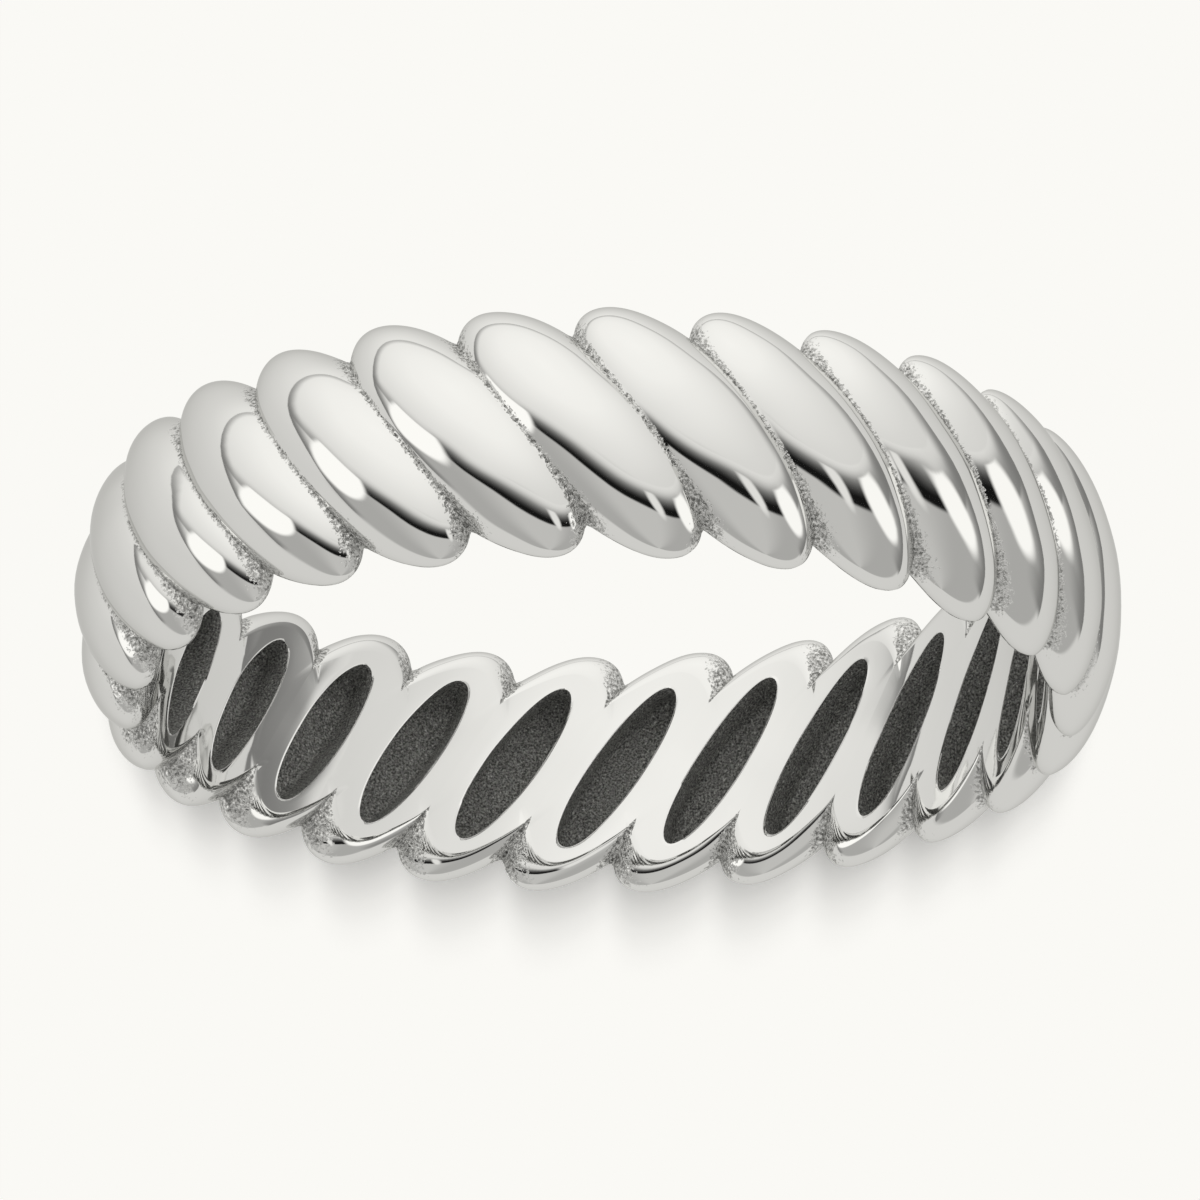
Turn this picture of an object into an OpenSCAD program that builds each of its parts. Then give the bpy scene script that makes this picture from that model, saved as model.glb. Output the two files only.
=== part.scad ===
// Rope twist ring: one cast band of slanted, crowned lobes that meet in grooves all the way round.
// Behind each lobe a pocket is scooped out from the bore side.
// The ring lies on its side: the bore runs up along +Z and the lobe tips rest on z = 0.

/* [Band] */
// Diameter of the bore, which the finger goes through
bore_d = 17.3; // [15:0.1:22]
// Width of the band along the bore, from lobe tip to lobe tip
band_w = 5.1; // [4.6:0.1:7]
// Thickness of metal from the bore to the crest of a lobe
crest_t = 1.55; // [1.4:0.05:2.2]

/* [Lobes] */
// Number of lobes round the band
lobe_count = 26; // [20:1:30]
// Slant of the crests away from the direction of the bore, in degrees: they lean clockwise going up
slant = 36; // [0:1:42]
// Height of a crest above the line where the lobe is widest
dome_h = 1.1; // [0.8:0.05:1.3]
// How peaked a lobe's section is: 1 gives an oval, more a narrower crest
dome_peak = 1.2; // [1:0.05:1.5]
// Depth of a groove below the crests, at the middle of the band
groove_d = 0.26; // [0.1:0.01:0.4]
// Depth of the notch that a groove leaves in each rim
notch_d = 0.6; // [0.3:0.05:0.9]
// How far a lobe's tip rounds in towards the bore
tip_round = 0.55; // [0.3:0.05:0.8]
// How far the notch between two tips runs in towards the bore
notch_round = 1.2; // [0.6:0.05:1.4]

/* [Pockets] */
// Metal left between a pocket's tip and the lobe's tip, along the bore
tip_wall = 0.92; // [0.7:0.01:1.4]
// Metal left between two pockets, measured round the bore
rib_w = 1.05; // [0.6:0.01:1.3]
// Metal left over a pocket, under the crest
crest_wall = 0.8; // [0.6:0.05:1.1]

/* [Hidden] */

// Steps from one groove to the next, round the dome of a lobe, and round its side down to the bore
steps_across = 6;
steps_dome = 14;
steps_side = 4;
// Sides that the bore and a pocket are drawn with
bore_sides = 180;
pocket_sides = 12;
// How far the lobes run in past the bore, so that the bore cuts them cleanly
cut_in = 0.05;
// How far the bore's cutter reaches past each rim
overrun = 1;

bore_r = bore_d / 2;
half_w = band_w / 2;
crest_r = bore_r + crest_t;
widest_r = crest_r - dome_h;
side_h = widest_r - bore_r + cut_in;
pitch = 360 / lobe_count;
// Turn of the lobes round the ring for each millimetre along it, in degrees
twist_rate = tan(slant) / crest_r * 180 / PI;

// Size of a lobe at a place between two grooves: t runs from -1 to 1, share is its size at a groove
function oval(share, t) = sqrt(1 - (1 - share * share) * t * t);

// Upper side of a section, as [radius, height], from the bore out to where the lobe is widest
function side_points(w, round_in) = [for (i = [0 : steps_side - 1])
    let (a = 90 * i / steps_side) [widest_r - side_h * cos(a), w - round_in * (1 - sin(a))]];
// The dome, from the widest place on the upper side over the crest to the one on the lower side
function dome_points(w, h) = [for (i = [0 : steps_dome])
    let (a = 180 * i / steps_dome) [widest_r + h * pow(sin(a), dome_peak), w * cos(a)]];
// The lower side, which runs back in to the bore
function mirrored(points) = [for (i = [len(points) - 1 : -1 : 0]) [points[i][0], -points[i][1]]];

// One closed section across the band, at a place t between two grooves
function section(t) =
    let (
        w = half_w * oval(1 - notch_d / half_w, t),
        h = dome_h * oval(1 - groove_d / dome_h, t),
        round_in = notch_round + (tip_round - notch_round) * oval(0, t),
        side = side_points(w, round_in)
    )
    concat(side, dome_points(w, h), mirrored(side));

// A section's point in space: every height is turned by the lobes' slant
function place(p, turn) =
    let (a = turn - twist_rate * p[1])
    [p[0] * cos(a), p[0] * sin(a), p[1] + half_w];

module lobes() {
    ring_steps = lobe_count * steps_across;
    side = steps_dome + 1 + 2 * steps_side;
    points = [for (i = [0 : ring_steps - 1])
        let (t = 2 * (i % steps_across) / steps_across - 1, turn = pitch * i / steps_across)
        for (p = section(t)) place(p, turn)];
    faces = [for (i = [0 : ring_steps - 1], j = [0 : side - 1])
        let (
            a = i * side + j, b = i * side + (j + 1) % side,
            c = ((i + 1) % ring_steps) * side + (j + 1) % side, d = ((i + 1) % ring_steps) * side + j
        )
        for (f = [[a, b, c], [a, c, d]]) f];
    polyhedron(points = points, faces = faces, convexity = 8);
}

module bore() {
    translate([0, 0, -overrun]) cylinder(r = bore_r, h = band_w + 2 * overrun, $fn = bore_sides);
}

// One hollow, an oval bowl that leans with the lobes and opens into the bore.
// The ball is over size by what its flats lose, so that they reach the full depth.
module pocket() {
    lean = twist_rate * bore_r * PI / 180;
    deep = crest_t - crest_wall;
    half_len = half_w - tip_wall;
    half_gap = (2 * PI * bore_r / lobe_count - rib_w) / 2;
    translate([bore_r, 0, half_w])
        multmatrix([[1, 0, 0, 0], [0, 1, -lean, 0], [0, 0, 1, 0]])
        scale([deep, half_gap, half_len])
        rotate([0, 90, 0]) sphere(r = 1 / cos(180 / pocket_sides), $fn = pocket_sides);
}

module twist_band() {
    color("silver")
    difference() {
        lobes();
        bore();
        for (i = [0 : lobe_count - 1]) rotate([0, 0, pitch * (i + 0.5)]) pocket();
    }
}

twist_band();
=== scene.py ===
"""Looks of the rope twist ring: its polished and its cast metal, a floor with a painted glow, a studio and
the camera.

Sizes of the band are in millimetres, as on a jeweller's drawing, and become metres where a mesh is made.
The ring lies on its side, so its bore runs up along +Z and the tips of its lobes rest on z = 0.
"""

import logging
import math
from dataclasses import dataclass, field
from enum import Enum, IntEnum

import bmesh
import bpy
import numpy as np
from bpy.types import ID, Material, Mesh, Node, NodeSocket, NodeTree, Object, World
from mathutils import Matrix, Vector

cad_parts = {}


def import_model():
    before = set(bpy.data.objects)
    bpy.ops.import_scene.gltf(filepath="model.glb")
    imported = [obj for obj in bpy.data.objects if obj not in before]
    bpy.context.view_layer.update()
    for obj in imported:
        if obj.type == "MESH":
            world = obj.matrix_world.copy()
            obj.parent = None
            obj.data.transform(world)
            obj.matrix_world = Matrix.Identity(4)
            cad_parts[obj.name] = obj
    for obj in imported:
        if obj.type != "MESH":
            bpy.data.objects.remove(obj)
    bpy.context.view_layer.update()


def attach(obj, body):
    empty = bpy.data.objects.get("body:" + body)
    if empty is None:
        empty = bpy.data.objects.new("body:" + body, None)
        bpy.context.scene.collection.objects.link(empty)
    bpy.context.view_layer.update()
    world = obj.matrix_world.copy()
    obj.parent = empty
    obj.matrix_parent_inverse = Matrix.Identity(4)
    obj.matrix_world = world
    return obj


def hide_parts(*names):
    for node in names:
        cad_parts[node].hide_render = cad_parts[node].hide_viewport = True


log = logging.getLogger("rope_twist_ring")

MM = 0.001
IMAGE_PX = 1200
SENSOR_MM = 36.0

# The paper-white that the whole studio is lit and lined with: a trace warmer than neutral
PAPER_WHITE = "#FFFEFA"
# Share of the lamps' light that the paper scatters back
PAPER_SHARE = 0.9
# The camera's turn round the ring, which the lamps and the tent are lined up with, in degrees
CAMERA_TURN = -2.4

# What an input is linked to: an output, or a node for its first output
Source = Node | NodeSocket
# Two sizes or levels that belong together, such as where a soft edge starts and ends
Pair = tuple[float, float]


def linear(colour: str) -> tuple[float, float, float, float]:
    """Turns an sRGB hex colour into the linear one that a shader takes.

    Args:
        colour: The colour as "#RRGGBB".

    Returns:
        Linear red, green and blue, and an alpha of 1.
    """
    shares = [int(colour[i : i + 2], 16) / 255 for i in (1, 3, 5)]
    red, green, blue = (s / 12.92 if s <= 0.04045 else ((s + 0.055) / 1.055) ** 2.4 for s in shares)
    return red, green, blue, 1.0


def add_node(
    tree: NodeTree, kind: str, inputs: dict[int | str, object] | None = None, **settings: object
) -> Node:
    """Adds a node with its settings, its values and its links.

    Args:
        tree: The tree that the node goes in.
        kind: The node's type, such as "ShaderNodeMath".
        inputs: For each input, by number or name, its value or the source to link to it.
        **settings: The node's own properties, such as operation.

    Returns:
        The new node.
    """
    node = tree.nodes.new(kind)
    for name, value in settings.items():
        setattr(node, name, value)
    for key, value in (inputs or {}).items():
        if isinstance(value, Node):
            value = value.outputs[0]
        if isinstance(value, NodeSocket):
            tree.links.new(value, node.inputs[key])
        else:
            node.inputs[key].default_value = value
    return node


def new_object(name: str, data: ID) -> Object:
    """Puts an object in the scene.

    Args:
        name: The object's name.
        data: The mesh, lamp or lens that it holds.

    Returns:
        The object.
    """
    made = bpy.data.objects.new(name, data)
    bpy.context.collection.objects.link(made)
    return made


def bare_tree(owner: Material | World) -> NodeTree:
    """Turns on the nodes of a material or a world.

    Args:
        owner: The material or the world.

    Returns:
        Its tree, with nothing in it.
    """
    owner.use_nodes = True
    owner.node_tree.nodes.clear()
    return owner.node_tree


def soft_edge(tree: NodeTree, value: Source, edge: Pair) -> Node:
    """Adds a soft step of the value, from 0 where the edge starts to 1 where it ends."""
    ends = {"Value": value, 1: edge[0], 2: edge[1]}
    return add_node(tree, "ShaderNodeMapRange", ends, interpolation_type="SMOOTHSTEP")


def per_feature(size_mm: float) -> float:
    """A noise scale for features of about this size, in millimetres, on Object coordinates in metres."""
    return 1 / (size_mm * MM)


class Mark(str, Enum):
    """Names of what a lobe's mesh carries for the finishes and the creases."""

    FROM_GROOVE = "from_groove"
    CREASE = "crease"
    AS_CAST = "as_cast"


class Crease(IntEnum):
    """The lines where two surfaces of the band meet at an edge that polishing didn't round."""

    NONE = 0
    GROOVE = 1
    POCKET_SIDE = 2


@dataclass(frozen=True)
class BandShape:
    """The rule that every lobe of the band follows, with the sizes of the solid.

    A place on a lobe is given by t, from -1 at one groove over 0 at the crest to 1 at the next groove,
    and by where it lies on the section there.
    """

    bore_d: float = 17.3
    band_w: float = 5.1
    crest_t: float = 1.55
    lobe_count: int = 26
    slant: float = 36.0
    dome_h: float = 1.1
    dome_peak: float = 1.2
    groove_d: float = 0.26
    notch_d: float = 0.6
    tip_round: float = 0.55
    notch_round: float = 1.2
    # The photo shows the upper rim's notches filed in deeper than the solid's
    upper_notch_round: float = 1.55
    tip_wall: float = 0.92
    rib_w: float = 1.05
    crest_wall: float = 0.8
    # How far a notch's side runs in past the bore, which cuts it there with a faint edge
    cut_in: float = 0.05

    @property
    def bore_r(self) -> float:
        """Radius of the bore."""
        return self.bore_d / 2

    @property
    def half_w(self) -> float:
        """Half the band's width, which is also the height of its middle above the floor."""
        return self.band_w / 2

    @property
    def widest_r(self) -> float:
        """Radius where a lobe is widest along the bore."""
        return self.bore_r + self.crest_t - self.dome_h

    @property
    def pitch(self) -> float:
        """Turn from one groove to the next, in radians."""
        return 2 * math.pi / self.lobe_count

    @property
    def twist_rate(self) -> float:
        """Turn of a lobe for each millimetre along the bore, in radians."""
        return math.tan(math.radians(self.slant)) / (self.bore_r + self.crest_t)

    @property
    def pocket_half_width(self) -> float:
        """Half a pocket's opening, measured round the bore."""
        return (self.pitch * self.bore_r - self.rib_w) / 2

    @property
    def pocket_half_length(self) -> float:
        """Half a pocket's opening, measured along the bore."""
        return self.half_w - self.tip_wall

    @property
    def pocket_depth(self) -> float:
        """Depth of a pocket below the bore."""
        return self.crest_t - self.crest_wall

    @staticmethod
    def oval(share: float, t: np.ndarray) -> np.ndarray:
        """A lobe's size at t as a share of its size at the crest, where share is its size at a groove."""
        return np.sqrt(1 - (1 - share * share) * t * t)

    def half_width(self, t: np.ndarray) -> np.ndarray:
        """Half the band's width at t."""
        return self.half_w * self.oval(1 - self.notch_d / self.half_w, t)

    def height(self, t: np.ndarray) -> np.ndarray:
        """Height of the dome at t above the line where a lobe is widest."""
        return self.dome_h * self.oval(1 - self.groove_d / self.dome_h, t)

    def dome(self, t: np.ndarray, a: np.ndarray) -> tuple[np.ndarray, np.ndarray]:
        """Radius and height above the middle on the dome, where a runs from 0 at the upper rim to pi."""
        rise = np.clip(np.sin(a), 0, 1) ** self.dome_peak
        return self.widest_r + self.height(t) * rise, self.half_width(t) * np.cos(a)

    def side(self, t: np.ndarray, down: np.ndarray, notch_round: float) -> tuple[np.ndarray, np.ndarray]:
        """Radius and height away from the middle on a tip's side.

        Args:
            t: Place between two grooves.
            down: From 0 where the lobe is widest to 1 at the bore.
            notch_round: How far the notch runs in towards the bore.

        Returns:
            The radii and the heights.
        """
        reach = self.widest_r - self.bore_r
        side_h = reach + self.cut_in * t**6
        round_in = notch_round + (self.tip_round - notch_round) * self.oval(0, t)
        at_bore = np.arccos(reach / side_h)
        a = math.pi / 2 + (at_bore - math.pi / 2) * down
        return self.widest_r - side_h * np.cos(a), self.half_width(t) - round_in * (1 - np.sin(a))

    def place(self, radius: np.ndarray, height: np.ndarray, turn: np.ndarray) -> np.ndarray:
        """Puts places of the section in space, in millimetres.

        Args:
            radius: Distance from the bore's axis.
            height: Height above the band's middle.
            turn: Turn round the axis, before the lobes' slant, in radians.

        Returns:
            The points, one a row.
        """
        angle = turn - self.twist_rate * height
        return np.stack([radius * np.cos(angle), radius * np.sin(angle), height + self.half_w], -1)


@dataclass
class LobeMesh:
    """One lobe from groove to groove, with its part of each rim, its strip of the bore and its pocket."""

    shape: BandShape
    # Faces across a lobe, over its dome, round each side, and up the bore's straight stretch between notches
    across: int = 36
    over_dome: int = 56
    round_side: int = 8
    up_bore: int = 12
    # How strongly the columns crowd towards the grooves and the rows away from the rims, from 0 to 1
    crowding: float = 0.75
    row_crowding: float = 0.1
    # Rings over the strip of the bore, from 1 at its edge to 0 beside the pocket, and the gap left there
    strip_rings: tuple[float, ...] = (0.96, 0.4, 0.0)
    strip_gap: float = 0.09
    # The rounded lip of a pocket: width, depth of its last edge, and the share of both at its middle
    lip_w: float = 0.03
    lip_d: float = 0.045
    lip_middle: float = 0.3
    # Rings down a pocket's steep wall and in over its flat floor, as shares of its opening and its depth
    pocket_rings: tuple[Pair, ...] = ((0.985, 0.4), (0.97, 0.78), (0.94, 0.94), (0.87, 1.0), (0.45, 1.0))
    # Share of the reach of the grain that a place far from the grooves gets
    far: float = 9.0
    points: list[np.ndarray] = field(default_factory=list)
    creases: list[int] = field(default_factory=list)
    faces: list[tuple[int, ...]] = field(default_factory=list)
    cast_from: int = 0

    def build(self) -> Mesh:
        """Makes the lobe's mesh.

        Returns:
            The mesh in metres, with its marks.
        """
        outside = self._outside()
        self._bore_and_pocket(self._bore_edge(outside))
        mesh = bpy.data.meshes.new("lobe")
        mesh.from_pydata([tuple(p * MM) for p in self.points], [], self.faces)
        mesh.shade_smooth()
        marks = {
            Mark.FROM_GROOVE: ("FLOAT", "POINT", self._from_groove(outside)),
            Mark.CREASE: ("FLOAT", "POINT", self.creases),
            Mark.AS_CAST: ("BOOLEAN", "FACE", [i >= self.cast_from for i in range(len(self.faces))]),
        }
        for mark, (kind, domain, values) in marks.items():
            mesh.attributes.new(mark.value, kind, domain).data.foreach_set("value", values)
        return mesh

    def _add(self, points: np.ndarray, crease: Crease = Crease.NONE) -> np.ndarray:
        """Adds vertices.

        Args:
            points: The places, one a row.
            crease: The crease that they all lie on, if any.

        Returns:
            Their numbers.
        """
        first = len(self.points)
        self.points.extend(points)
        self.creases.extend([int(crease)] * len(points))
        return np.arange(first, first + len(points))

    def _strip(self, upper: np.ndarray, lower: np.ndarray, closed: bool) -> None:
        """Joins two rows of vertices with faces.

        Args:
            upper: Numbers of one row.
            lower: Numbers of the other.
            closed: Whether the rows are loops.
        """
        last = len(upper) if closed else len(upper) - 1
        for i in range(last):
            j = (i + 1) % len(upper)
            self.faces.append((int(upper[i]), int(lower[i]), int(lower[j]), int(upper[j])))

    def _outside(self) -> np.ndarray:
        """Makes the dome and both sides.

        Returns:
            The vertices' numbers: a row for each t, which runs from the upper bore edge to the lower one.
        """
        s = np.linspace(-1, 1, self.across + 1)
        t = (np.sin(self.crowding * math.pi / 2 * s) / math.sin(self.crowding * math.pi / 2))[:, None]
        u = np.linspace(0, 1, self.over_dome + 1)[None, 1:-1]
        rows = math.pi * (u - self.row_crowding * np.sin(2 * math.pi * u))
        dome_r, dome_z = self.shape.dome(t, rows)
        down = np.linspace(1, 0, self.round_side + 1)[None, :]
        upper_r, upper_z = self.shape.side(t, down, self.shape.upper_notch_round)
        lower_r, lower_z = self.shape.side(t, down[:, ::-1], self.shape.notch_round)
        radius = np.concatenate([upper_r, dome_r, lower_r], 1)
        height = np.concatenate([upper_z, dome_z, -lower_z], 1)
        turn = np.broadcast_to(self.shape.pitch * (t + 1) / 2, radius.shape)
        placed = self.shape.place(radius, height, turn)
        creases = [Crease.GROOVE, *[Crease.NONE] * (self.across - 1), Crease.GROOVE]
        grid = np.array([self._add(column, crease) for column, crease in zip(placed, creases)])
        for row in range(grid.shape[1] - 1):
            self._strip(grid[:, row], grid[:, row + 1], closed=False)
        return grid

    def _bore_edge(self, outside: np.ndarray) -> np.ndarray:
        """Closes the loop round this lobe's strip of the bore.

        Args:
            outside: The numbers from _outside.

        Returns:
            The loop's numbers: along the upper edge, down the far groove, back along the lower edge and up.
        """
        top, bottom = (self.points[outside[0, end]][2] - self.shape.half_w for end in (0, -1))
        heights = np.linspace(top, bottom, self.up_bore + 1)[1:-1]
        radius = np.full_like(heights, self.shape.bore_r)
        far = self._add(self.shape.place(radius, heights, np.full_like(heights, self.shape.pitch)))
        near = self._add(self.shape.place(radius, heights[::-1], np.zeros_like(heights)))
        return np.concatenate([outside[:, 0], far, outside[::-1, -1], near])

    def _bore_and_pocket(self, loop: np.ndarray) -> None:
        """Fills the bore's strip up to the pocket, and hollows the pocket.

        Args:
            loop: The numbers from _bore_edge.
        """
        shape = self.shape
        at = np.array([self.points[i] for i in loop])
        height = at[:, 2] - shape.half_w
        turn = np.arctan2(at[:, 1], at[:, 0]) + shape.twist_rate * height
        flat = np.stack([(turn - shape.pitch / 2) * shape.bore_r, height], -1)
        half = np.array([shape.pocket_half_width, shape.pocket_half_length])
        rim = flat / np.linalg.norm(flat / half, axis=1)[:, None]
        outward = rim / (half * half)
        outward /= np.linalg.norm(outward, axis=1)[:, None]

        def ring(where: np.ndarray, depth: float, crease: Crease = Crease.NONE) -> np.ndarray:
            """Adds a loop at flat places of the bore and a depth below it, and gives its numbers."""
            radius = np.full(len(where), shape.bore_r + depth)
            return self._add(
                shape.place(radius, where[:, 1], shape.pitch / 2 + where[:, 0] / radius), crease
            )

        close = rim + outward * self.strip_gap
        lip = outward * self.lip_w
        loops = [
            loop,
            *[ring(close + (flat - close) * share, 0.0) for share in self.strip_rings],
            ring(rim + lip, 0.0),
            ring(rim + lip * self.lip_middle, self.lip_d * self.lip_middle),
            ring(rim, self.lip_d, Crease.POCKET_SIDE),
        ]
        for outer, inner in zip(loops, loops[1:]):
            self._strip(inner, outer, closed=True)
        self.cast_from = len(self.faces)
        last = loops[-1]
        for opening, depth in self.pocket_rings:
            inner = ring(rim * opening, shape.pocket_depth * depth)
            self._strip(inner, last, closed=True)
            last = inner
        middle = int(ring(np.zeros((1, 2)), shape.pocket_depth)[0])
        for i, number in enumerate(last):
            self.faces.append((int(number), int(last[(i + 1) % len(last)]), middle))

    def _from_groove(self, outside: np.ndarray) -> np.ndarray:
        """Measures how far each vertex is from the nearest groove, as a share of the grain's reach there.

        Args:
            outside: The numbers from _outside.

        Returns:
            A share for each vertex, from 0 on a groove. Those of the bore and the pocket get the far one.
        """
        shares = np.full(len(self.points), self.far)
        points = np.array(self.points)
        grain = GrainReach()
        rows = outside.shape[1]
        down = [max(0.0, 1 - min(row, rows - 1 - row) / self.round_side) for row in range(rows)]
        for column, way in ((0, -1), (self.across, 1)):
            line = points[outside[column]]
            start, step = line[:-1], np.diff(line, axis=0)
            for i in range(outside.shape[0]):
                for row, j in enumerate(outside[i]):
                    off = points[j] - start
                    along = np.clip((off * step).sum(1) / (step * step).sum(1), 0, 1)
                    gaps = np.linalg.norm(off - along[:, None] * step, axis=1)
                    k = int(gaps.argmin())
                    up = (start[k, 2] + along[k] * step[k, 2] - self.shape.half_w) / self.shape.half_w
                    reach = grain.reach(up, bool(way * up > 0), down[row])
                    shares[j] = min(shares[j], gaps[k] / reach + grain.thinness(up, down[row]))
        return shares


@dataclass(frozen=True)
class GrainReach:
    """How far the cast grain, which the polishing wheel left, reaches from a groove, in millimetres."""

    at_middle: float = 0.1
    # In the notches, on the dome and round the tip's side: for the lobe that leans over it and the other
    on_dome: Pair = (0.75, 0.62)
    on_side: Pair = (1.3, 0.4)
    at_bore: float = 0.05
    # The lower rim was polished further: the share of the reach that is left on the domes there
    lower_share: float = 0.85
    # How much thinner the grain is in the middle of a groove than in a notch, and in a lower notch
    thin: float = 0.3
    thin_low: float = 0.06
    # How suddenly the grain spreads towards each notch, as a power of the height
    spread: Pair = (6.0, 2.6)
    # Height of a notch, as a share of half the band's width
    notch: float = 0.765
    # Share of the way down a tip's side by which the side's values have taken over from the dome's
    side_from: float = 0.25

    def reach(self, up: float, away: bool, down: float) -> float:
        """Finds the reach at a place on a groove.

        Args:
            up: Height from -1 at the lower rim to 1 at the upper one.
            away: Whether the lobe is the one that leans away from the notch there.
            down: From 0 on the dome to 1 where the tip's side meets the bore.

        Returns:
            The reach.
        """
        near = min(abs(up) / self.notch, 1.0) ** self.spread[away]
        widest = self.on_dome[away] * (1.0 if up > 0 else self.lower_share)
        dome = self.at_middle + (widest - self.at_middle) * near
        side = self.at_bore + (self.on_side[away] - self.at_bore) * math.sqrt(1 - down)
        return dome + (side - dome) * min(down / self.side_from, 1.0)

    def thinness(self, up: float, down: float) -> float:
        """Finds how thin the grain is at a place on a groove.

        Args:
            up: Height from -1 at the lower rim to 1 at the upper one.
            down: From 0 on the dome to 1 where the tip's side meets the bore.

        Returns:
            What it adds to a share of the reach.
        """
        near = min(abs(up) / self.notch, 1.0) ** 2
        at_notch = 0.0 if up > 0 else self.thin_low
        return (self.thin + (at_notch - self.thin) * near) * max(1 - down / self.side_from, 0.0)


@dataclass(frozen=True)
class PolishedSilver:
    """Cast sterling silver, buffed to a mirror: bright, faintly warm and sharp in its reflections.

    In the grooves, where the wheel didn't reach, it keeps a sparkling grain and a few pits. The pits are
    painted darker, as shade in them, and darkest along the groove lines, as painted shade in the creases.
    """

    colour: str = "#F5F5F4"
    # The pits' colour: painted darker than the skin, as shade in them
    pit_shade_colour: str = "#CFCFCD"
    # Painted shade of the creases: the colour that the pits darken to along the groove lines
    groove_shade_colour: str = "#828280"
    edge_tint: str = "#E6E6E5"
    roughness: float = 0.045
    grain_roughness: float = 0.24
    # Real casting grain is about 0.04 mm; it is drawn a little coarser, so that it shows in the picture
    grain_mm: float = 0.06
    grain_depth_mm: float = 0.018
    # How much of the skin is pitted, as a level of the grain's noise, far from a groove and in it
    pitted: Pair = (0.13, 0.62)
    pit_slope: float = 0.3
    # Shares of the grain's reach from which the skin is all polished and up to which it is all pitted,
    # and how thickly it is pitted where the painted shade of the crease begins to darken the pits
    border: Pair = (1.3, 0.2)
    groove_shade_from: float = 0.6
    # Wandering of the line between grain and polish
    border_mm: float = 0.22
    border_amount: float = 0.9
    # Soft ripple that the buffing wheel leaves
    ripple_mm: float = 1.6
    ripple_depth_mm: float = 0.003

    def material(self) -> Material:
        """Makes the material.

        Returns:
            The material, which reads Object coordinates and the distance from the grooves.
        """
        made = bpy.data.materials.new("polished_sterling_silver")
        tree = bare_tree(made)
        at = add_node(tree, "ShaderNodeTexCoord").outputs["Object"]
        dense = self._density(tree, at)
        pit = self._pits(tree, at, dense)
        waves = {"Vector": at, "Scale": per_feature(self.ripple_mm), "Detail": 1.0}
        ripple = add_node(tree, "ShaderNodeTexNoise", waves)
        waved = add_node(tree, "ShaderNodeBump", {"Distance": self.ripple_depth_mm * MM, "Height": ripple})
        sunk = {"Distance": self.grain_depth_mm * MM, "Height": pit, "Normal": waved}
        bumped = add_node(tree, "ShaderNodeBump", sunk, invert=True)
        # Painted shade: the pits darken towards the groove lines, where the crease is deepest and the skin
        # most pitted
        deep = add_node(tree, "ShaderNodeMapRange", {"Value": dense, 1: self.groove_shade_from, 2: 1.0})
        in_pit = {0: deep, 6: linear(self.pit_shade_colour), 7: linear(self.groove_shade_colour)}
        pit_shade_colour = add_node(tree, "ShaderNodeMix", in_pit, data_type="RGBA").outputs[2]
        everywhere = {0: pit, 6: linear(self.colour), 7: pit_shade_colour}
        colour = add_node(tree, "ShaderNodeMix", everywhere, data_type="RGBA").outputs[2]
        rough = {"Value": pit, 3: self.roughness, 4: self.grain_roughness}
        made_of = {
            "Base Color": colour,
            "Metallic": 1.0,
            "Roughness": add_node(tree, "ShaderNodeMapRange", rough),
            "Specular Tint": linear(self.edge_tint),
            "Normal": bumped,
        }
        metal = add_node(tree, "ShaderNodeBsdfPrincipled", made_of)
        add_node(tree, "ShaderNodeOutputMaterial", {"Surface": metal})
        return made

    def _density(self, tree: NodeTree, at: Source) -> Node:
        """Adds how thickly the skin is pitted.

        Args:
            tree: The material's tree.
            at: The place on the ring.

        Returns:
            The node that holds the density, from 0 on the polished skin to 1 in a groove.
        """
        share = add_node(tree, "ShaderNodeAttribute", attribute_name=Mark.FROM_GROOVE.value).outputs["Fac"]
        border = {"Vector": at, "Scale": per_feature(self.border_mm), "Detail": 4.0, "Roughness": 0.65}
        wander = add_node(tree, "ShaderNodeTexNoise", border)
        moved = {0: wander, 1: self.border_amount, 2: share}
        place = add_node(tree, "ShaderNodeMath", moved, operation="MULTIPLY_ADD")
        clean, grainy = (edge + self.border_amount / 2 for edge in self.border)
        return soft_edge(tree, place, (clean, grainy))

    def _pits(self, tree: NodeTree, at: Source, dense: Source) -> Node:
        """Adds the pits.

        Args:
            tree: The material's tree.
            at: The place on the ring.
            dense: How thickly the skin is pitted there.

        Returns:
            The node that holds how deep the place lies in a pit, from 0 to 1.
        """
        grains = {"Vector": at, "Scale": per_feature(self.grain_mm), "Detail": 2.0, "Roughness": 0.6}
        grain = add_node(tree, "ShaderNodeTexNoise", grains)
        few, many = self.pitted
        level = add_node(tree, "ShaderNodeMapRange", {"Value": dense, 3: few, 4: many})
        under = add_node(tree, "ShaderNodeMath", {0: level, 1: grain}, operation="SUBTRACT")
        return add_node(tree, "ShaderNodeMapRange", {"Value": under, 1: 0.0, 2: self.pit_slope})


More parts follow.
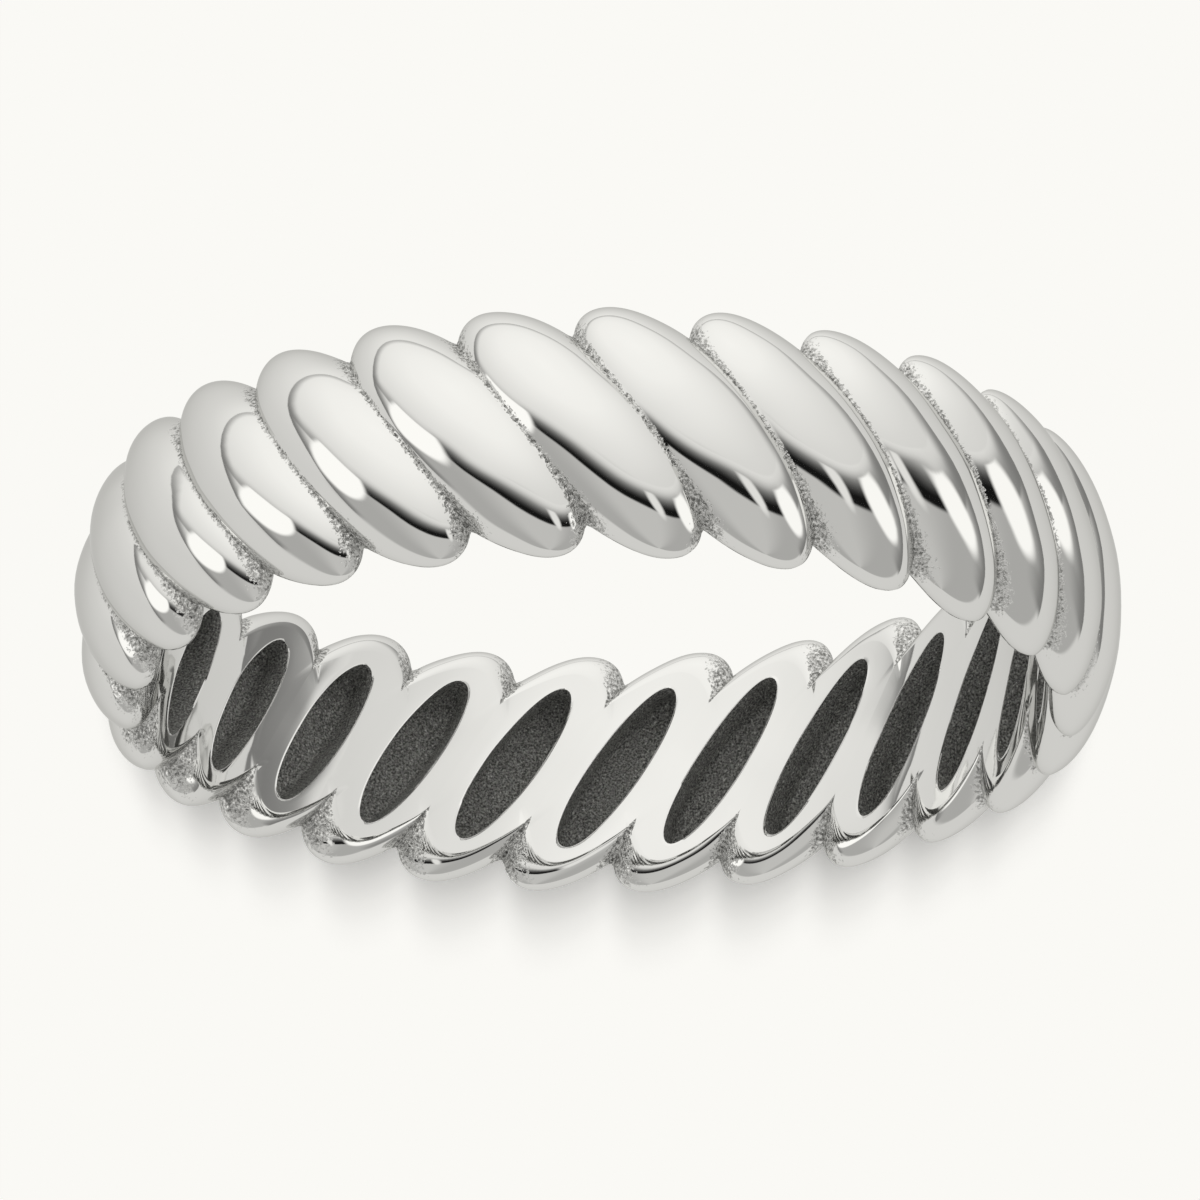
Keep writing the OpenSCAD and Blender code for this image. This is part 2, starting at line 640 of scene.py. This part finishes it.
@dataclass(frozen=True)
class CastSilver:
    """Sterling silver as it came out of the mould, in the pockets: dark, matt grey and sandy."""

    # Levels of the sand grain's noise and the colour there: hollows, grains and a few bright facets
    colours: tuple[tuple[float, str], ...] = (
        (0.34, "#646463"), (0.52, "#ABABA9"), (0.63, "#CFCFCD"), (0.72, "#F6F6F4")
    )
    roughness: float = 0.75
    # Sand grain of the mould, drawn a little coarser than the real 0.03 mm so that it shows
    grain_mm: float = 0.042
    grain_depth_mm: float = 0.035

    def material(self) -> Material:
        """Makes the material.

        Returns:
            The material, which reads Object coordinates.
        """
        made = bpy.data.materials.new("as_cast_sterling_silver")
        tree = bare_tree(made)
        at = add_node(tree, "ShaderNodeTexCoord").outputs["Object"]
        sand = {"Vector": at, "Scale": per_feature(self.grain_mm), "Detail": 2.0, "Roughness": 0.7}
        grain = add_node(tree, "ShaderNodeTexNoise", sand)
        colour = add_node(tree, "ShaderNodeValToRGB", {0: grain})
        stops = colour.color_ramp.elements
        while len(stops) < len(self.colours):
            stops.new(1.0)
        for stop, (level, shade) in zip(stops, self.colours):
            stop.position = level
            stop.color = linear(shade)
        bumped = add_node(tree, "ShaderNodeBump", {"Distance": self.grain_depth_mm * MM, "Height": grain})
        made_of = {"Base Color": colour, "Metallic": 1.0, "Roughness": self.roughness, "Normal": bumped}
        metal = add_node(tree, "ShaderNodeBsdfPrincipled", made_of)
        add_node(tree, "ShaderNodeOutputMaterial", {"Surface": metal})
        return made


@dataclass
class TwistBand:
    """The whole band: one lobe repeated round the bore and welded into a single skin."""

    node: str = "twist_band"
    slot: str = "polished_silver"
    shape: BandShape = field(default_factory=BandShape)
    weld_mm: float = 0.0005
    # Hand buffing leaves no two lobes quite alike: the skin wanders inwards by up to this much
    wander_mm: float = 0.1
    wander_size_mm: float = 2.0

    def build(self) -> Object:
        """Makes the band, dresses it and puts it in the frame.

        Returns:
            The band's object.
        """
        lobe = new_object("lobe", LobeMesh(self.shape).build())
        self._repeat(lobe)
        bpy.context.view_layer.update()
        whole = bpy.data.meshes.new_from_object(lobe.evaluated_get(bpy.context.evaluated_depsgraph_get()))
        lobe.modifiers.clear()
        bpy.data.objects.remove(lobe)
        self._finish(whole)
        band = new_object("rope_twist_band", whole)
        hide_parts(self.node)
        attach(band, "root")
        return band

    def _tree(self) -> NodeTree:
        """Builds the tree that repeats a lobe round the bore.

        Returns:
            The Geometry Nodes tree, with inputs for its sizes and its two metals.
        """
        tree = bpy.data.node_groups.new("lobes_round_the_bore", "GeometryNodeTree")
        sockets = {
            "Lobe": "Geometry",
            "Lobe Count": "Int",
            "Weld Distance": "Float",
            "Wander": "Float",
            "Wander Scale": "Float",
            "Polished": "Material",
            "As Cast": "Material",
        }
        for name, kind in sockets.items():
            tree.interface.new_socket(name, in_out="INPUT", socket_type=f"NodeSocket{kind}")
        tree.interface.new_socket("Band", in_out="OUTPUT", socket_type="NodeSocketGeometry")
        given = add_node(tree, "NodeGroupInput").outputs
        places = add_node(tree, "GeometryNodePoints", {"Count": given["Lobe Count"]})
        share = {0: 2 * math.pi, 1: given["Lobe Count"]}
        step = add_node(tree, "ShaderNodeMath", share, operation="DIVIDE")
        index = add_node(tree, "GeometryNodeInputIndex")
        turn = add_node(tree, "ShaderNodeMath", {0: index, 1: step}, operation="MULTIPLY")
        about_z = add_node(tree, "ShaderNodeCombineXYZ", {"Z": turn})
        rotation = add_node(tree, "FunctionNodeEulerToRotation", {"Euler": about_z})
        placed = {"Points": places, "Instance": given["Lobe"], "Rotation": rotation}
        lobes = add_node(tree, "GeometryNodeInstanceOnPoints", placed)
        real = add_node(tree, "GeometryNodeRealizeInstances", {"Geometry": lobes})
        seams = {"Geometry": real, "Distance": given["Weld Distance"]}
        welded = add_node(tree, "GeometryNodeMergeByDistance", seams)
        soft = {"Scale": given["Wander Scale"], "Detail": 1.0, "Roughness": 0.35}
        noise = add_node(tree, "ShaderNodeTexNoise", soft)
        amount = add_node(tree, "ShaderNodeMath", {0: noise, 1: given["Wander"]}, operation="MULTIPLY")
        normal = add_node(tree, "GeometryNodeInputNormal")
        inward = add_node(tree, "ShaderNodeVectorMath", {0: normal, "Scale": amount}, operation="SCALE")
        worn = add_node(tree, "GeometryNodeSetPosition", {"Geometry": welded, "Offset": inward})
        skin = {"Geometry": worn, "Material": given["Polished"]}
        polished = add_node(tree, "GeometryNodeSetMaterial", skin)
        mark = {"Name": Mark.AS_CAST.value}
        in_pocket = add_node(tree, "GeometryNodeInputNamedAttribute", mark, data_type="BOOLEAN")
        cast = {"Geometry": polished, "Selection": in_pocket, "Material": given["As Cast"]}
        dressed = add_node(tree, "GeometryNodeSetMaterial", cast)
        add_node(tree, "NodeGroupOutput", {"Band": dressed})
        return tree

    def _repeat(self, lobe: Object) -> None:
        """Puts the tree on the lobe's object, with its inputs.

        Args:
            lobe: The object that holds one lobe.
        """
        tree = self._tree()
        repeat = lobe.modifiers.new("repeat", "NODES")
        repeat.node_group = tree
        values = {
            "Lobe Count": self.shape.lobe_count,
            "Weld Distance": self.weld_mm * MM,
            "Wander": -self.wander_mm * MM,
            "Wander Scale": per_feature(self.wander_size_mm),
            "Polished": PolishedSilver().material(),
            "As Cast": CastSilver().material(),
        }
        for item in tree.interface.items_tree:
            if item.name in values:
                repeat[item.identifier] = values[item.name]

    def _finish(self, mesh: Mesh) -> None:
        """Turns every face outwards and marks the creases as sharp.

        Args:
            mesh: The welded band.
        """
        work = bmesh.new()
        work.from_mesh(mesh)
        bmesh.ops.recalc_face_normals(work, faces=work.faces)
        crease = work.verts.layers.float.get(Mark.CREASE.value)
        for edge in work.edges:
            first, second = (round(v[crease]) for v in edge.verts)
            edge.smooth = first == Crease.NONE or first != second
        open_edges = sum(not e.is_manifold for e in work.edges)
        log.info("band skin: %d faces, %d open edges", len(work.faces), open_edges)
        work.to_mesh(mesh)
        work.free()


@dataclass(frozen=True)
class PaintedGlowFloor:
    """The pale floor: a white sheet with a painted glow, not lit by any lamp. It glows by itself wholly
    round the ring, and in part farther out, where the lamps light the rest.

    Both look the same where nothing shades them. Round the ring only the painted glow gives its light, so no
    shadow
    shows there: the view through the bore is as bright as the sheet and the shadow sets in softly. The metal
    doesn't mirror the floor, because the tent already holds the cloth below the ring.
    """

    radius_mm: float = 1500.0
    sides: int = 128
    # Where the sheet begins to take the lamps' light, and where it takes all that it can
    fade_mm: Pair = (11.2, 20.5)
    # Painted glow that it gives off where it takes none of the lamps' light, and where it takes all that it
    # can
    glow: Pair = (0.956, 0.406)

    def build(self) -> Object:
        """Makes the floor.

        Returns:
            The floor's object.
        """
        mesh = bpy.data.meshes.new("painted_glow_floor")
        work = bmesh.new()
        bmesh.ops.create_circle(work, cap_ends=True, segments=self.sides, radius=self.radius_mm * MM)
        work.to_mesh(mesh)
        work.free()
        floor = new_object("painted_glow_floor", mesh)
        mesh.materials.append(self._material())
        floor.visible_glossy = False
        return floor

    def _material(self) -> Material:
        """Makes the floor's material: matt paper with a painted glow, white with a trace of warmth.

        Returns:
            The material.
        """
        made = bpy.data.materials.new("paper_with_painted_glow")
        tree = bare_tree(made)
        white = linear(PAPER_WHITE)
        where = add_node(tree, "ShaderNodeTexCoord").outputs["Object"]
        away = add_node(tree, "ShaderNodeVectorMath", {0: where}, operation="LENGTH")
        near, far = self.fade_mm
        taken = soft_edge(tree, away.outputs["Value"], (near * MM, far * MM))
        share = add_node(tree, "ShaderNodeMapRange", {"Value": taken, 4: PAPER_SHARE})
        paper = add_node(tree, "ShaderNodeVectorMath", {0: white[:3], "Scale": share}, operation="SCALE")
        matt = add_node(tree, "ShaderNodeBsdfDiffuse", {"Color": paper})
        # Painted glow: the sheet gives off light itself, and all of it round the ring, so that no shadow
        # shows there
        glow = add_node(tree, "ShaderNodeMapRange", {"Value": taken, 3: self.glow[0], 4: self.glow[1]})
        painted_glow = add_node(tree, "ShaderNodeEmission", {"Color": white, "Strength": glow})
        both = add_node(tree, "ShaderNodeAddShader", {0: matt, 1: painted_glow})
        add_node(tree, "ShaderNodeOutputMaterial", {"Surface": both})
        return made


@dataclass(frozen=True)
class StripLight:
    """A tall, narrow strip of light low behind the camera, whose soft shadow falls away behind the ring.

    It is made of lamps one above the other. They only light the paper: the metal mirrors the tent instead.
    """

    # Each lamp's height above the horizon, and the light that the paper gives back by it alone
    lamps: tuple[Pair, ...] = ((15.6, 0.06), (17.0, 0.11), (18.5, 0.14), (20.0, 0.14), (21.4, 0.1))
    # How wide each looks from the ring, in degrees
    spread: float = 2.0

    def build(self) -> Object:
        """Makes the lamps.

        Returns:
            The highest lamp's object.
        """
        for number, (height, level) in enumerate(self.lamps, 1):
            lamp = bpy.data.lights.new(f"strip_lamp_{number}", "SUN")
            lamp.energy = level * math.pi / (PAPER_SHARE * math.sin(math.radians(height)))
            lamp.angle = math.radians(self.spread)
            lamp_object = new_object(lamp.name, lamp)
            lamp_object.visible_glossy = False
            lamp_object.rotation_euler = (math.radians(90 - height), 0, math.radians(CAMERA_TURN))
        return lamp_object


@dataclass(frozen=True)
class Panel:
    """Something that hangs in the tent and shows in the metal: an oval, in degrees, and its level.

    Its blur is the share of its radius over which its edge fades.
    """

    turn: float
    height: float
    half_long: float
    half_wide: float
    level: float
    tilt: float = 0.0
    blur: float = 0.2


@dataclass(frozen=True)
class Ray:
    """What the tent's tree holds of a ray's direction, with angles in degrees.

    The way has the camera's side at -Y. Left and right are how far it lies to each side, from 0 to 1, and
    front is how far it lies in front of the fold. Above and below count from the gap's two edges.
    """

    tree: NodeTree
    way: Source
    left: Source
    right: Source
    turn: Source
    height: Source
    front: Source
    above: Source
    below: Source


@dataclass(frozen=True)
class StudioTent:
    """What the metal mirrors: a pool of light on cloth, a dark gap over it, a dimmer roof and softboxes.

    Directions are in degrees: the turn is 0 towards the camera and grows to the camera's right hand,
    and the height is above the horizon. Levels are linear. A pair is where a soft edge starts and ends.
    """

    # The pool of light: where its middle lies, and its levels by the angle away from there
    pool_turn: float = 14.0
    pool_height: float = -49.0
    pool_levels: tuple[Pair, ...] = (
        (0.0, 0.99), (25.0, 0.95), (37.0, 0.885), (50.0, 0.80), (60.0, 0.74), (75.0, 0.69), (90.0, 0.665)
    )
    # The roof's level in front and at the sides, the back's, and the edges between them and over the pool
    roof: float = 0.55
    roof_side: float = 0.42
    back: float = 0.67
    roof_aside: Pair = (20.0, 65.0)
    roof_starts: Pair = (3.0, 12.0)
    roof_ends: tuple[Pair, ...] = ((-102.0, -108.0), (85.0, 95.0))
    # Where the cloth in front meets the cloth behind: the front one darkens towards the fold, over a share
    # of the way to the camera. The fold runs under the ring and up beside it, at the left further back.
    fold: float = 0.5
    fold_side: float = 0.2
    fold_under: float = 0.085
    fold_right: float = 0.15
    fold_left: float = 0.42
    fold_back: float = 0.3
    fold_edge: Pair = (-0.01, 0.0)
    # Its edges: how far to each side it turns up, by what heights, and where it goes back and where it ends
    turns_left: Pair = (-0.3, -0.6)
    turns_right: Pair = (0.0, 0.3)
    turns_up: Pair = (-70.0, -20.0)
    goes_back: Pair = (-60.0, 0.0)
    fold_ends: Pair = (30.0, 20.0)
    # The level that the paper is lit with, and the one that the camera sees
    paper_fill: float = 0.0
    seen: float = 0.956
    # The dark gap: its sharp upper edge in front, the middle of its fading lower one, how fast both fall
    # sideways with the square of the turn, and the widths of their edges
    gap_top: float = 30.5
    gap_middle: float = 16.0
    gap_fall: float = 0.0055
    gap_fall_left: float = 0.0052
    gap_fall_right: float = 0.0070
    gap_top_edge: Pair = (-1.5, 1.5)
    gap_low_edge: Pair = (-10.0, -8.5)
    gap_ends: tuple[Pair, ...] = ((-66.0, -58.0), (56.0, 51.0))
    # How dark the gap still is beyond its ends, where it shows as a line under the softboxes
    gap_beyond: float = 0.6
    # Levels up the gap, by degrees above the middle of its lower edge
    gap_levels: tuple[Pair, ...] = (
        (-10.0, 0.79), (-8.0, 0.75), (-6.0, 0.69), (-4.0, 0.57), (-2.0, 0.42),
        (0.0, 0.26), (2.0, 0.16), (4.0, 0.09), (6.5, 0.035), (9.0, 0.008),
    )
    panels: tuple[Panel, ...] = (
        Panel(-75, 0, 19, 14.5, 1.03, blur=0.45),
        Panel(70, -0.5, 18, 15.5, 1.06, blur=0.25),
        Panel(-29, 18, 12, 6.5, 0.8, tilt=-60, blur=0.8),
    )
    # The panels' lower edge, where they hang before the pool of light
    panels_start: Pair = (-3.0, -1.0)

    def build(self) -> World:
        """Makes the studio as the scene's world.

        Returns:
            The world.
        """
        world = bpy.data.worlds.new("studio_tent")
        world.cycles.sampling_method = "NONE"
        tree = bare_tree(world)
        ray = self._ray(tree)
        level = self._folded(ray, self._gap(ray, self._cloth(ray)))
        for panel in self.panels:
            level = self._panel(ray, level, panel)
        path = add_node(tree, "ShaderNodeLightPath").outputs
        for kind, shown in (("Is Diffuse Ray", self.paper_fill), ("Is Camera Ray", self.seen)):
            level = add_node(tree, "ShaderNodeMix", {0: path[kind], 2: level, 3: shown})
        shade = add_node(tree, "ShaderNodeBackground", {"Color": linear(PAPER_WHITE), "Strength": level})
        add_node(tree, "ShaderNodeOutputWorld", {"Surface": shade})
        bpy.context.scene.world = world
        return world

    def _ray(self, tree: NodeTree) -> Ray:
        """Adds the nodes that measure a ray's direction.

        Args:
            tree: The world's tree.

        Returns:
            What they hold.
        """
        seen = add_node(tree, "ShaderNodeTexCoord").outputs["Generated"]
        turned = {"Vector": seen, "Angle": -math.radians(CAMERA_TURN)}
        way = add_node(tree, "ShaderNodeVectorRotate", turned, rotation_type="Z_AXIS")
        x, y, z = add_node(tree, "ShaderNodeSeparateXYZ", {0: way}).outputs
        to_camera = add_node(tree, "ShaderNodeMath", {0: y, 1: -1.0}, operation="MULTIPLY")
        round_z = add_node(tree, "ShaderNodeMath", {0: x, 1: to_camera}, operation="ARCTAN2")
        turn = add_node(tree, "ShaderNodeMath", {0: round_z}, operation="DEGREES")
        up_z = add_node(tree, "ShaderNodeMath", {0: z}, operation="ARCSINE")
        height = add_node(tree, "ShaderNodeMath", {0: up_z}, operation="DEGREES")
        left = soft_edge(tree, x, self.turns_left)
        right = soft_edge(tree, x, self.turns_right)
        going_back = soft_edge(tree, height, self.goes_back)
        front = left
        for operation, value in (("MULTIPLY", going_back), ("MULTIPLY", self.fold_back), ("SUBTRACT", y)):
            front = add_node(tree, "ShaderNodeMath", {0: front, 1: value}, operation=operation)
        is_left = add_node(tree, "ShaderNodeMath", {0: turn, 1: 0.0}, operation="LESS_THAN")
        falls = {0: is_left, 2: -self.gap_fall_right, 3: -self.gap_fall_left}
        top_fall = add_node(tree, "ShaderNodeMix", falls)
        square = add_node(tree, "ShaderNodeMath", {0: turn, 1: turn}, operation="MULTIPLY")
        top, middle = (
            add_node(tree, "ShaderNodeMath", {0: square, 1: fall, 2: start}, operation="MULTIPLY_ADD")
            for fall, start in ((top_fall, self.gap_top), (-self.gap_fall, self.gap_middle))
        )
        above = add_node(tree, "ShaderNodeMath", {0: height, 1: middle}, operation="SUBTRACT")
        below = add_node(tree, "ShaderNodeMath", {0: top, 1: height}, operation="SUBTRACT")
        return Ray(tree, way, left, right, turn, height, front, above, below)

    def _levels(self, tree: NodeTree, value: Source, levels: tuple[Pair, ...]) -> Node:
        """Adds a ramp of levels.

        Args:
            tree: The world's tree.
            value: What the levels go by.
            levels: The values and their levels, in rising order.

        Returns:
            The node that holds the level.
        """
        first, last = levels[0][0], levels[-1][0]
        share = add_node(tree, "ShaderNodeMapRange", {"Value": value, 1: first, 2: last})
        ramp = add_node(tree, "ShaderNodeValToRGB", {0: share})
        stops = ramp.color_ramp.elements
        while len(stops) < len(levels):
            stops.new(1.0)
        for stop, (at, grey) in zip(stops, levels):
            stop.position = (at - first) / (last - first)
            stop.color = (grey, grey, grey, 1.0)
        return ramp

    def _within(
        self, ray: Ray, shown: Source, edges: list[tuple[Source, Pair]], level: Source, inner: Source | float
    ) -> Node:
        """Lays one level over another, within soft edges.

        Args:
            ray: The direction.
            shown: How much of the inner level shows there, from 0 to 1.
            edges: Measures of the direction, each with its edge.
            level: The level outside.
            inner: The level within.

        Returns:
            The node that holds the level.
        """
        for value, edge in edges:
            here = soft_edge(ray.tree, value, edge)
            shown = add_node(ray.tree, "ShaderNodeMath", {0: shown, 1: here}, operation="MULTIPLY")
        return add_node(ray.tree, "ShaderNodeMix", {0: shown, 2: level, 3: inner})

    def _cloth(self, ray: Ray) -> Node:
        """Adds the tent's cloth: the pool of light, the roof and the back.

        Args:
            ray: The direction.

        Returns:
            The node that holds the level.
        """
        tree = ray.tree
        t, h = math.radians(self.pool_turn), math.radians(self.pool_height)
        pool = (math.sin(t) * math.cos(h), -math.cos(t) * math.cos(h), math.sin(h))
        near = add_node(tree, "ShaderNodeVectorMath", {0: ray.way, 1: pool}, operation="DOT_PRODUCT")
        angle = add_node(tree, "ShaderNodeMath", {0: near.outputs["Value"]}, operation="ARCCOSINE")
        away = add_node(tree, "ShaderNodeMath", {0: angle}, operation="DEGREES")
        low = self._levels(tree, away, self.pool_levels)
        aside = add_node(tree, "ShaderNodeMath", {0: ray.turn}, operation="ABSOLUTE")
        dimmed = soft_edge(tree, aside, self.roof_aside)
        roof = add_node(tree, "ShaderNodeMix", {0: dimmed, 2: self.roof, 3: self.roof_side})
        for edge in self.roof_ends:
            behind = soft_edge(tree, ray.turn, edge)
            roof = add_node(tree, "ShaderNodeMix", {0: behind, 2: roof, 3: self.back})
        over = soft_edge(tree, ray.height, self.roof_starts)
        return add_node(tree, "ShaderNodeMix", {0: over, 2: low, 3: roof})

    def _folded(self, ray: Ray, level: Source) -> Node:
        """Adds the fold between the cloth in front and the cloth behind.

        Args:
            ray: The direction.
            level: The level without the fold.

        Returns:
            The node that holds the level with the fold.
        """
        tree = ray.tree
        either = add_node(tree, "ShaderNodeMath", {0: ray.left, 1: ray.right}, operation="ADD")
        beside = soft_edge(tree, ray.height, self.turns_up)
        aside = add_node(tree, "ShaderNodeMath", {0: either, 1: beside}, operation="MULTIPLY")
        wide = add_node(tree, "ShaderNodeMix", {0: ray.left, 2: self.fold_right, 3: self.fold_left})
        reach = add_node(tree, "ShaderNodeMix", {0: aside, 2: self.fold_under, 3: wide})
        dark = add_node(tree, "ShaderNodeMix", {0: aside, 2: self.fold, 3: self.fold_side})
        share = add_node(tree, "ShaderNodeMath", {0: ray.front, 1: reach}, operation="DIVIDE")
        shown = soft_edge(tree, share, (1.0, 0.0))
        edges = [(ray.front, self.fold_edge), (ray.height, self.fold_ends)]
        return self._within(ray, shown, edges, level, dark)

    def _gap(self, ray: Ray, level: Source) -> Node:
        """Adds the dark gap between the pool of light and the roof.

        Args:
            ray: The direction.
            level: The tent's level without the gap.

        Returns:
            The node that holds the level with the gap.
        """
        tree = ray.tree
        dark = self._levels(tree, ray.above, self.gap_levels)
        ends = [soft_edge(tree, ray.turn, edge) for edge in self.gap_ends]
        within = add_node(tree, "ShaderNodeMath", {0: ends[0], 1: ends[1]}, operation="MULTIPLY")
        shown = add_node(tree, "ShaderNodeMix", {0: within, 2: self.gap_beyond, 3: 1.0})
        edges = [(ray.below, self.gap_top_edge), (ray.above, self.gap_low_edge), (ray.front, self.fold_edge)]
        return self._within(ray, shown, edges, level, dark)

    def _panel(self, ray: Ray, level: Source, panel: Panel) -> Node:
        """Adds a panel.

        Args:
            ray: The direction.
            level: The level behind the panel.
            panel: The panel.

        Returns:
            The node that holds the level with the panel.
        """
        tree = ray.tree
        place = add_node(tree, "ShaderNodeCombineXYZ", {0: ray.turn, 1: ray.height})
        oval = {
            "Vector": place,
            "Location": (panel.turn, panel.height, 0),
            "Rotation": (0, 0, math.radians(panel.tilt)),
            "Scale": (panel.half_long, panel.half_wide, 1),
        }
        offset = add_node(tree, "ShaderNodeMapping", oval, vector_type="TEXTURE")
        gap = add_node(tree, "ShaderNodeVectorMath", {0: offset}, operation="LENGTH").outputs["Value"]
        inside = soft_edge(tree, gap, (1 + panel.blur / 2, 1 - panel.blur / 2))
        return self._within(ray, inside, [(ray.above, self.panels_start)], level, panel.level)


@dataclass(frozen=True)
class ProductCamera:
    """A long lens a quarter of a metre away, looking down into the ring.

    It stands above the floor and is rolled half a turn, so the far rim comes lowest in the picture.
    """

    shape: BandShape = field(default_factory=BandShape)
    distance_mm: float = 259.43
    elevation: float = 21.456
    roll: float = 180.13
    focal_px: float = 13398.2
    # Where the middle of the ring falls in the picture
    middle_x_px: float = 599.42
    middle_y_px: float = 608.56
    # Nearest and farthest place that it sees, in metres
    clip: Pair = (0.01, 10.0)

    def build(self) -> Object:
        """Makes the scene's camera.

        Returns:
            The camera's object.
        """
        lens = bpy.data.cameras.new("product_camera")
        lens.sensor_width = SENSOR_MM
        lens.lens = self.focal_px * SENSOR_MM / IMAGE_PX
        lens.shift_x = -(self.middle_x_px - IMAGE_PX / 2) / IMAGE_PX
        lens.shift_y = (self.middle_y_px - IMAGE_PX / 2) / IMAGE_PX
        lens.clip_start, lens.clip_end = self.clip
        camera = new_object("product_camera", lens)
        e = math.radians(self.elevation)
        back = Vector((0, -math.cos(e), math.sin(e)))
        axes = Matrix(((1, 0, 0), (0, math.sin(e), math.cos(e)), back)).transposed()
        about_z = Matrix.Rotation(math.radians(CAMERA_TURN), 3, "Z")
        turned = about_z @ axes @ Matrix.Rotation(math.radians(self.roll), 3, "Z")
        middle = Vector((0, 0, self.shape.half_w * MM))
        place = middle + about_z @ back * self.distance_mm * MM
        camera.matrix_world = Matrix.Translation(place) @ turned.to_4x4()
        bpy.context.scene.camera = camera
        return camera


def main() -> None:
    """Builds the ring, the floor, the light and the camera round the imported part."""
    logging.basicConfig(level=logging.INFO, format="%(name)s: %(message)s")
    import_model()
    scene = bpy.context.scene
    scene.view_settings.view_transform = "Standard"
    scene.cycles.caustics_reflective = False
    for part in (ProductCamera(), StudioTent(), StripLight(), PaintedGlowFloor(), TwistBand()):
        made = part.build()
        log.info("%s: %s", type(part).__name__, made.name)


if __name__ == "__main__":
    main()
